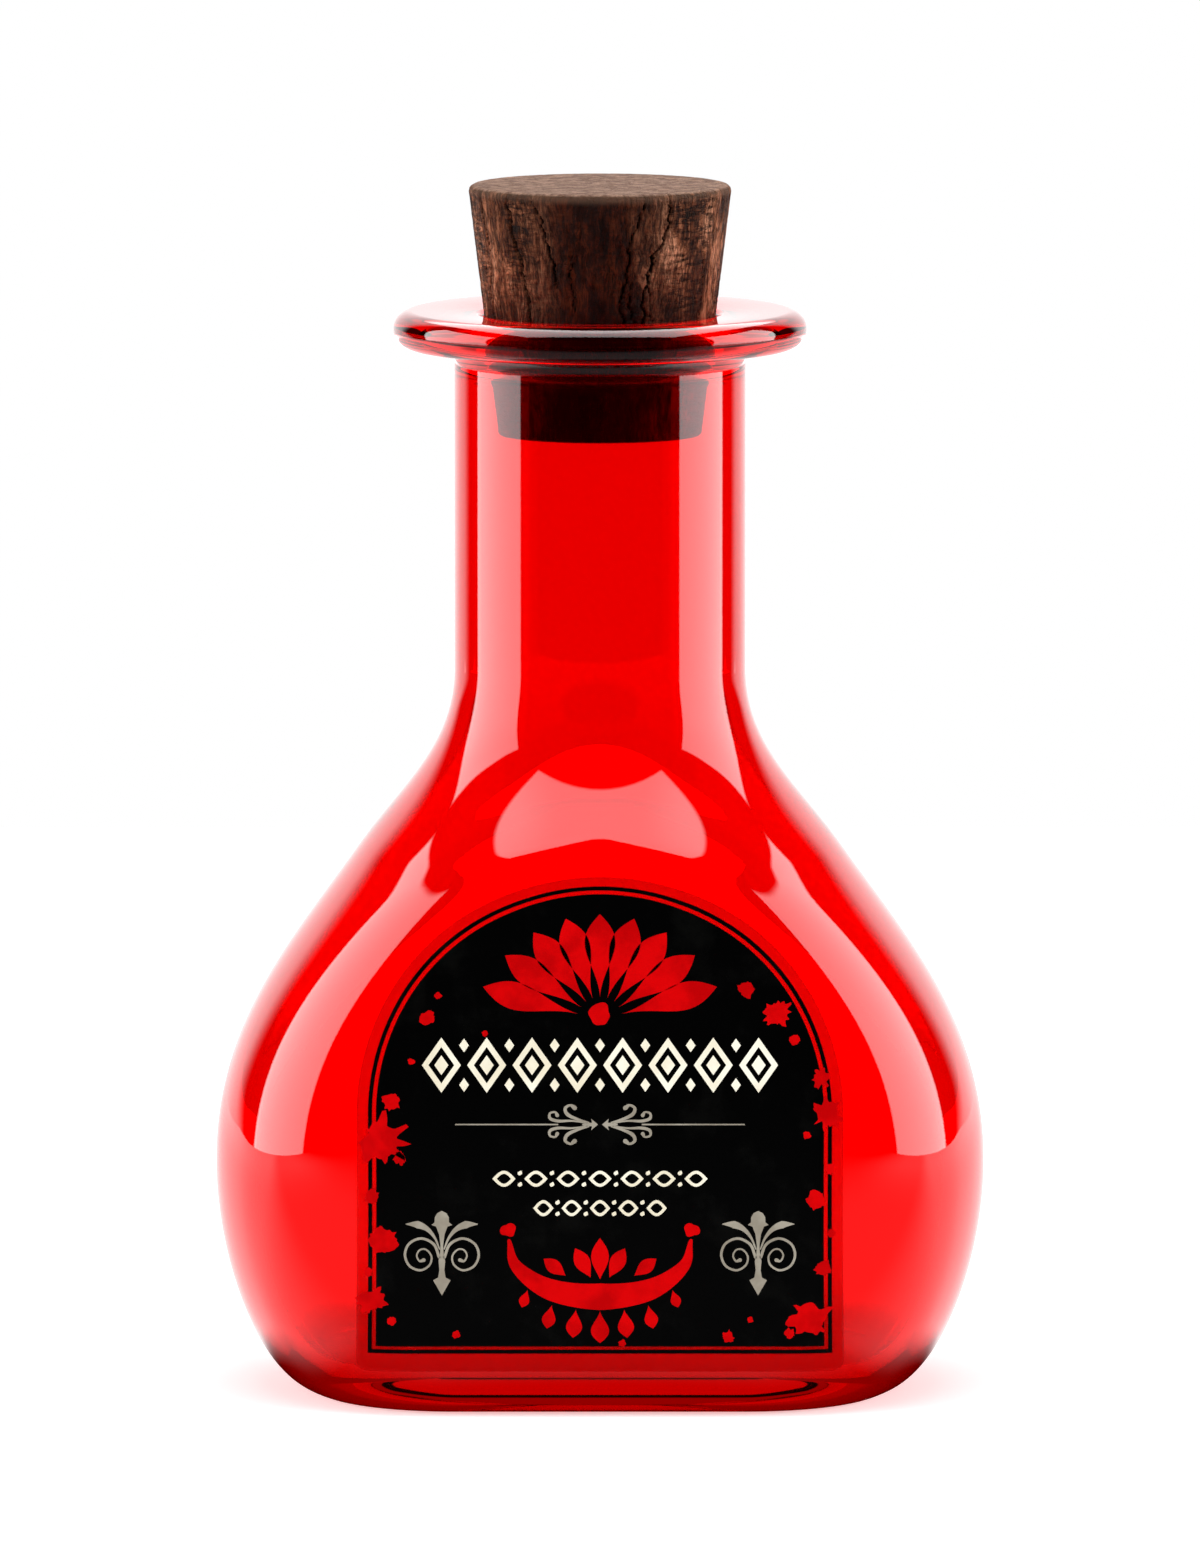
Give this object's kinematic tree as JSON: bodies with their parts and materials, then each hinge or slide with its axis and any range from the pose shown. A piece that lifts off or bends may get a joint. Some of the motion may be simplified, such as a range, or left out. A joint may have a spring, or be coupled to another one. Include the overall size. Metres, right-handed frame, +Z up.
{
  "type": "potion bottle",
  "caption": "Red glass flask with flat front and back panels, wide round lip, tapered wooden stopper that lifts out, and an arched black label.",
  "frame": {"origin": "middle of the base, on the surface that the bottle stands on", "axes": "+Z up along the neck's axis, -Y towards the label's side, X across the two flat panels"},
  "size_m": [0.0838, 0.0495, 0.1315],
  "materials": {
    "glass": "smooth, clear red glass, coloured all through",
    "wood": "dry, dark brown, open grain",
    "label": "printed film, satin"
  },
  "bodies": {
    "bottle": {"bottle": "glass", "front_label": "label"},
    "stopper": {"stopper": "wood"}
  },
  "joints": [
    {"name": "stopper_lift", "type": "slide", "parent": "bottle", "child": "stopper", "axis": [0, 0, 1], "range_m": [0, 0.04]}
  ]
}
